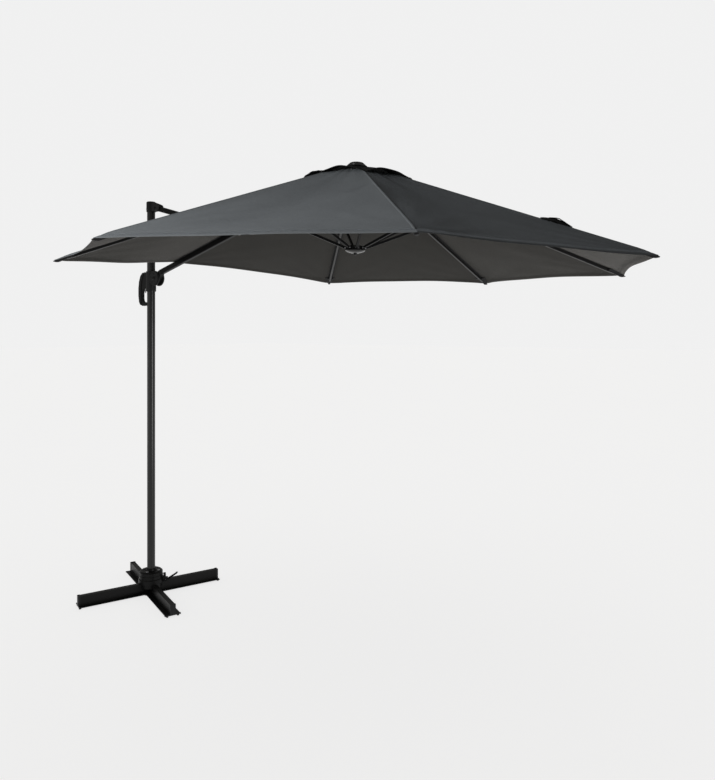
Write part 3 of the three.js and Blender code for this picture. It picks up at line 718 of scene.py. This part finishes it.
for k in ARMS:
    gather(vent_binding(k))


def slot_edge(y0, y1, r0, r1):
    """A straight length of webbing over the boom, from y0 and r0 to y1 and r1."""
    path = [from_arm(BOOM_ARM, over_ridge(BOOM_ARM, r0 + (r1 - r0) * t, y0 + (y1 - y0) * t, 0.0))
            for t in np.linspace(0, 1, 14)]
    return sweep(path, flat_section(0.005, 0.0014))


SLOT_BINDING = [slot_edge(SLOT_HALF, SLOT_HALF, SLOT_FROM, SLOT_TO),
                slot_edge(-SLOT_HALF, -SLOT_HALF, SLOT_TO, SLOT_FROM),
                slot_edge(-SLOT_HALF, SLOT_HALF, SLOT_FROM, SLOT_FROM),
                slot_edge(SLOT_HALF, -SLOT_HALF, SLOT_TO, SLOT_TO)]
piece("slot_binding", *joined(SLOT_BINDING), ["binding"], "boom", "webbing", smooth=False)

# Black pockets under the corners hold the rib ends.
POCKET_FROM, POCKET_TIP, POCKET_HALF = 1.328, CORNER_R + 0.004, 0.034
UNDER_CLOTH = 0.0018
HALF_PANEL_TAN = 0.4142  # of the 22.5 degrees between a ridge and the middle of a panel


def pocket_ring(k, t):
    """The outline of a pocket at share t of its length, in the arm's own frame."""
    r = POCKET_FROM + (POCKET_TIP - POCKET_FROM) * t
    half = POCKET_HALF * (1 - t) ** 0.85 + 0.0035
    drop = 0.0195 - 0.004 * t - 0.0105 * max(0.0, (r - RIB_TIP_R) / (POCKET_TIP - RIB_TIP_R)) ** 1.5
    middle = float(ridge_height(k, r))

    def cloth_at(y):
        return over_ridge(k, r + HALF_PANEL_TAN * abs(y), y, -UNDER_CLOTH)[2] - middle

    side, shoulder = cloth_at(half), cloth_at(half * 0.5)
    waist = max(0.0068, half * 0.3)
    ring = [(-half, side), (-half * 0.5, shoulder), (0, -UNDER_CLOTH), (half * 0.5, shoulder), (half, side),
            (half * 0.9, side - 0.0012), (waist, -drop * 0.72), (0.0055, -drop), (-0.0055, -drop),
            (-waist, -drop * 0.72), (-half * 0.9, side - 0.0012)]
    return [(r, y, middle + z) for y, z in reversed(ring)]


def pocket(k):
    """A folded wedge of black cloth, open towards the hub, that tapers to the rib's tip."""
    rings = np.array([pocket_ring(k, t) for t in np.linspace(0, 1, 17)])
    points = from_arm(k, rings.reshape(-1, 3))
    obj = piece(f"corner_pocket_{k}", points, tube_faces(*rings.shape[:2]), ["webbing"], BODY[k], "webbing")
    mark_sharp(obj, 60)
    return obj


for k in range(1, 8):
    gather(pocket(k))

# The corner of the cloth over the boom has a patch of binding.
tape("boom_patch", BOOM_ARM, CORNER_R - 0.12, CORNER_R - 0.004, 0.032, lift=0.001, look="binding", steps=14)

# ---- closing strap ------------------------------------------------------------------------------
# Flat webbing folded to and fro in an untidy bundle beside the ridge opposite the mast.
STRAP_FROM, STRAP_TO = 0.957, 1.098
STRAP_HEIGHT = 0.0225
STRAP_RINGS, STRAP_SIDES = 30, 16


def strap_height(t):
    return STRAP_HEIGHT * np.interp(t, [0, 0.1, 0.55, 0.72, 1], [0.14, 0.34, 1.0, 0.72, 0.12])


def strap_point(t, y, up):
    """A point over the strap's ridge at share t of its length."""
    seat = over_ridge(STRAP_ARM, STRAP_FROM + (STRAP_TO - STRAP_FROM) * t, y, 0.0)
    return from_arm(STRAP_ARM, seat + np.array([0, 0, up]))


def strap_fold(part, start, stop, shift, size):
    """One lumpy fold of webbing between two shares of the strap's length."""
    points = []
    for i in range(STRAP_RINGS):
        t = start + (stop - start) * i / (STRAP_RINGS - 1)
        end = min(1.0, 6 * min(i, STRAP_RINGS - 1 - i) / (STRAP_RINGS - 1) + 0.25)
        tall = float(strap_height(t)) * size * (0.9 + 0.1 * math.sin(19 * t + 2 * part)) * end ** 0.5
        wide = (0.0125 + 0.0022 * math.sin(11 * t + part)) * size * end
        y = shift + 0.0022 * math.sin(8 * t + 3 * part)
        for j in range(STRAP_SIDES):
            c = 2 * math.pi * j / STRAP_SIDES
            crumple = 1 + 0.10 * math.sin(3 * c + 13 * t) + 0.06 * math.sin(7 * c - 21 * t)
            up = tall * (0.5 + 0.5 * math.sin(c) * crumple)
            points.append(strap_point(t, y + wide * math.cos(c) * crumple, up + 0.0006))
    faces, last = [], (STRAP_RINGS - 1) * STRAP_SIDES
    for ring in range(0, last, STRAP_SIDES):
        for j in range(STRAP_SIDES):
            after = (j + 1) % STRAP_SIDES
            faces.append([ring + j, ring + STRAP_SIDES + j, ring + STRAP_SIDES + after, ring + after])
    return points, faces + [list(range(STRAP_SIDES)), [last + j for j in range(STRAP_SIDES)][::-1]]


def strap_turn(start, stop, y, over):
    """A loose flat turn that lies over the folds."""
    spine = [strap_point(t, y + 0.003 * math.sin(6 * t), float(strap_height(t)) * 0.97 + over)
             for t in np.linspace(start, stop, 22)]
    return sweep(spine, flat_section(0.0085, 0.0007))


STRAP = [strap_fold(0, 0.0, 1.0, 0.004, 1.0), strap_fold(1, 0.06, 0.64, -0.004, 0.8),
         strap_turn(0.02, 0.62, 0.008, 0.0012), strap_turn(0.3, 0.97, -0.001, 0.001)]
bundle = piece("closing_strap_folds", *joined(STRAP), ["webbing"], BODY[STRAP_ARM], "webbing")
mark_sharp(bundle, 60)
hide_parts("closing_strap")

# ---- fasteners and fittings ---------------------------------------------------------------------
BOTH_SIDES = (-1, 1)


def dome(radius, height):
    """A round head with a recess."""
    return [(radius * 0.96, -0.0008), (radius, 0.0), (radius, height * 0.25), (radius * 0.9, height * 0.62),
            (radius * 0.66, height * 0.9), (radius * 0.42, height), (radius * 0.42, height * 0.4),
            (radius * 0.1, height * 0.36)]


def hexagon(radius, height):
    return [(radius * 0.99, -0.0005), (radius, height * 0.1), (radius, height * 0.82),
            (radius * 0.9, height)]


def fasteners(name, body, spots, look="pins"):
    """Spots are (profile, centre, direction, sides)."""
    parts = [turned_solid(profile, centre, along, sides) for profile, centre, along, sides in spots]
    obj = piece(name, *joined(parts), [look], body, look)
    mark_sharp(obj, 40)


def rivet_pair(name, k, body, centre, reach, head):
    """A rivet head on each side of a joint that turns about arm k's cross direction."""
    across = arm_axes(k)[:, 1]
    fasteners(name, body, [
        (head, tuple(centre + across * s * reach), tuple(across * s), 16) for s in BOTH_SIDES])


disc_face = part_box("pivot_disc_left")[1][1]
pivot_head = dome(0.0105, 0.006)
fasteners("pivot_bolts", "slider", [
    (pivot_head, (SLIDE[0], s * disc_face, SLIDE[2]), (0, s, 0), 24) for s in BOTH_SIDES], "plastic")

flange_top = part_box("turntable")[1][2] - 0.012
bolt_circle = 0.050
bolt_head = hexagon(0.0085, 0.0055)
fasteners("turntable_bolts", "mast", [
    (bolt_head, (bolt_circle * math.cos(a), bolt_circle * math.sin(a), flange_top), (0, 0, 1), 6)
    for a in (math.radians(25 + 90 * i) for i in range(4))])

screw_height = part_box("mast_cap")[0][2] + 0.016
cap_radius = 0.029
fasteners("mast_cap_screws", "mast", [
    (dome(0.0045, 0.0025), (cap_radius * math.cos(a), cap_radius * math.sin(a), screw_height),
     (math.cos(a), math.sin(a), 0), 16) for a in (math.radians(115), math.radians(-115))])

rivet_facing = np.array([math.cos(math.radians(-70)), math.sin(math.radians(-70)), 0])
rivet_height, rivet_circle, rivet_tilt = 0.0225, 0.0505, 0.75
fasteners("cap_rivets", "hub", [
    (dome(0.005, 0.003), tuple(HUB + np.array([0, 0, rivet_height]) + rivet_circle * d),
     tuple(d + np.array([0, 0, rivet_tilt])), 16) for d in (rivet_facing, -rivet_facing)])

# Rivets where each stretcher meets its rib and the runner, and where each rib meets the hub.
for k in ARMS:
    wider = k == BOOM_ARM
    rivet_pair(f"stretcher_rivets_{k}", k, BODY[k], pivot(f"stretcher_{k}_pivot"),
               0.009 if wider else 0.006, dome(0.0042, 0.0018))
    rivet_pair(f"hub_rivets_{k}", k, "hub", from_arm(k, [PIVOT_R, 0, 0]),
               0.012 if wider else 0.0063, dome(0.0048, 0.002))
    runner_height = to_arm(k, pivot("runner_on_stretcher"))[2]
    rivet_pair(f"runner_rivets_{k}", k, "runner", from_arm(k, [PIVOT_R, 0, runner_height]),
               0.0058, dome(0.004, 0.0016))

# ---- finishes on the carried-over nodes ---------------------------------------------------------
WELD_DISTANCE = 1e-5
SHARP_DEGREES = 32
BEVEL_WIDTH, BEVEL_DEGREES = 0.0007, 35


def cad_shading():
    """Joins a CAD mesh's corners, shades its round faces smooth and leaves its real edges sharp."""
    group = bpy.data.node_groups.new("cad_shading", "GeometryNodeTree")
    group.interface.new_socket("Geometry", in_out="INPUT", socket_type="NodeSocketGeometry")
    group.interface.new_socket("Geometry", in_out="OUTPUT", socket_type="NodeSocketGeometry")
    start, end = group.nodes.new("NodeGroupInput"), group.nodes.new("NodeGroupOutput")
    weld = group.nodes.new("GeometryNodeMergeByDistance")
    weld.inputs["Distance"].default_value = WELD_DISTANCE
    plain = group.nodes.new("GeometryNodeSetMeshNormal")
    plain.mode = "SHARPNESS"
    plain.inputs["Remove Custom"].default_value = True
    plain.inputs["Face Sharpness"].default_value = False
    angle = group.nodes.new("GeometryNodeInputMeshEdgeAngle")
    limit = group.nodes.new("FunctionNodeCompare")
    limit.data_type, limit.operation = "FLOAT", "GREATER_THAN"
    limit.inputs[1].default_value = math.radians(SHARP_DEGREES)
    link = group.links.new
    link(start.outputs[0], weld.inputs[0])
    link(weld.outputs[0], plain.inputs[0])
    link(angle.outputs[0], limit.inputs[0])
    link(limit.outputs[0], plain.inputs["Edge Sharpness"])
    link(plain.outputs[0], end.inputs[0])
    return group


def soften_edges(obj):
    mod = obj.modifiers.new("soft_edges", "BEVEL")
    mod.width, mod.segments = BEVEL_WIDTH, 2
    mod.limit_method, mod.angle_limit = "ANGLE", math.radians(BEVEL_DEGREES)
    mod.harden_normals = True


SHADING = cad_shading()
THIN_TUBES = {f"rib_{k}" for k in ARMS} | {f"stretcher_{k}" for k in ARMS}  # left without bevels
SLOT_LOOK = {part["node"]: part["material_slot"] for part in frame["record"]["subparts"]}
OWN_LOOK = {"grip": "soft", "centre_foot": "soft", "tie_pin_upper": "steel", "mast_tube": "mast",
            **{f"rib_{k}": "rib" for k in ARMS}}
for name, node in NODES.items():
    replaced = name.startswith("gore_") or name == "closing_strap"
    look = "outer" if replaced else OWN_LOOK.get(name, SLOT_LOOK[name])
    node.data.materials.clear()
    node.data.materials.append(LOOKS[look])
    if replaced:
        continue
    node.modifiers.new("shading", "NODES").node_group = SHADING
    if name not in THIN_TUBES:
        soften_edges(node)

# ---- stage --------------------------------------------------------------------------------------
BACKDROP, SKY, FLOOR_GLOW = 0.875, 0.30, 0.748
SKY_COLOUR = (1.0, 0.985, 0.96, 1)
WHITE = (1, 1, 1, 1)
FLOOR_HALF = 60.0


def stage_floor():
    mesh = bpy.data.meshes.new("floor")
    corners = [(x * FLOOR_HALF, y * FLOOR_HALF, 0) for x, y in ((-1, -1), (1, -1), (1, 1), (-1, 1))]
    mesh.from_pydata(corners, [], [[0, 1, 2, 3]])
    look = Look("studio_floor", (0.42, 0.42, 0.42), 0.9, specular_ior_level=0.1)
    look.colour(look.between(look.noise("Object", 0.6, detail=2.0), (0.41, 0.41, 0.41), (0.43, 0.43, 0.43)))
    look.set("Emission Color", WHITE)
    look.set("Emission Strength", FLOOR_GLOW)
    look.material.cycles.emission_sampling = "NONE"
    mesh.materials.append(look.material)
    floor = bpy.data.objects.new("floor", mesh)
    bpy.context.scene.collection.objects.link(floor)
    return floor


floor = stage_floor()
scene = bpy.context.scene

# The camera sees an even backdrop, and everything else is lit by a dimmer sky.
world = bpy.data.worlds.new("studio")
world.use_nodes = True
tree = world.node_tree
sky = tree.nodes["Background"]
sky.inputs[0].default_value = SKY_COLOUR
sky.inputs[1].default_value = SKY
backdrop = tree.nodes.new("ShaderNodeBackground")
backdrop.inputs[0].default_value = WHITE
backdrop.inputs[1].default_value = BACKDROP
seen, mixed = tree.nodes.new("ShaderNodeLightPath"), tree.nodes.new("ShaderNodeMixShader")
tree.links.new(seen.outputs["Is Camera Ray"], mixed.inputs[0])
tree.links.new(sky.outputs[0], mixed.inputs[1])
tree.links.new(backdrop.outputs[0], mixed.inputs[2])
tree.links.new(mixed.outputs[0], tree.nodes["World Output"].inputs[0])
scene.world = world
scene.view_settings.view_transform = "Standard"

# Two softboxes light only the cloth and two only the rest; none lights the floor, which stays even.
cloth_only, frame_only = bpy.data.collections.new("cloth_pieces"), bpy.data.collections.new("frame_pieces")
for obj in list(scene.collection.all_objects):
    if obj.type == "MESH" and obj is not floor:
        is_cloth = any(m and m.name.startswith("canopy_cloth") for m in obj.data.materials)
        (cloth_only if is_cloth else frame_only).objects.link(obj)


def softbox(name, place, aim, size, power, receivers, colour=(1, 1, 1)):
    data = bpy.data.lights.new(name, "AREA")
    data.shape, data.energy, data.color = "RECTANGLE", power, colour
    data.size, data.size_y = size
    obj = bpy.data.objects.new(name, data)
    obj.location = place
    obj.rotation_euler = (Vector(place) - Vector(aim)).to_track_quat("Z", "Y").to_euler()
    scene.collection.objects.link(obj)
    obj.light_linking.receiver_collection = receivers
    obj.visible_camera = False


COOL = (0.97, 0.99, 1.0)
softbox("key", (1.25, -3.25, 2.3), (2.1, -1.2, 1.97), (1.0, 1.0), 250, cloth_only, COOL)
softbox("fill", (-2.6, -3.4, 3.5), (1.0, -0.6, 2.2), (2.0, 2.0), 200, cloth_only, COOL)
softbox("side", (-1.2, -4.5, 1.6), (0, 0, 1.2), (1.4, 3.0), 18, frame_only)
softbox("strip", (5.5, 0.1, 1.0), (0, 0, 1.2), (0.35, 2.4), 75, frame_only)

# The camera is level; its shift puts the horizon above the middle of the picture.
camera_data = bpy.data.cameras.new("camera")
camera_data.lens = 31.71
camera_data.sensor_width = 36
camera_data.shift_y = -0.0774
camera_data.clip_end = 200
camera = bpy.data.objects.new("camera", camera_data)
camera.location = (3.730, -2.696, 1.6855)
camera.rotation_euler = (math.pi / 2, 0, math.asin(0.6077))
scene.collection.objects.link(camera)
scene.camera = camera
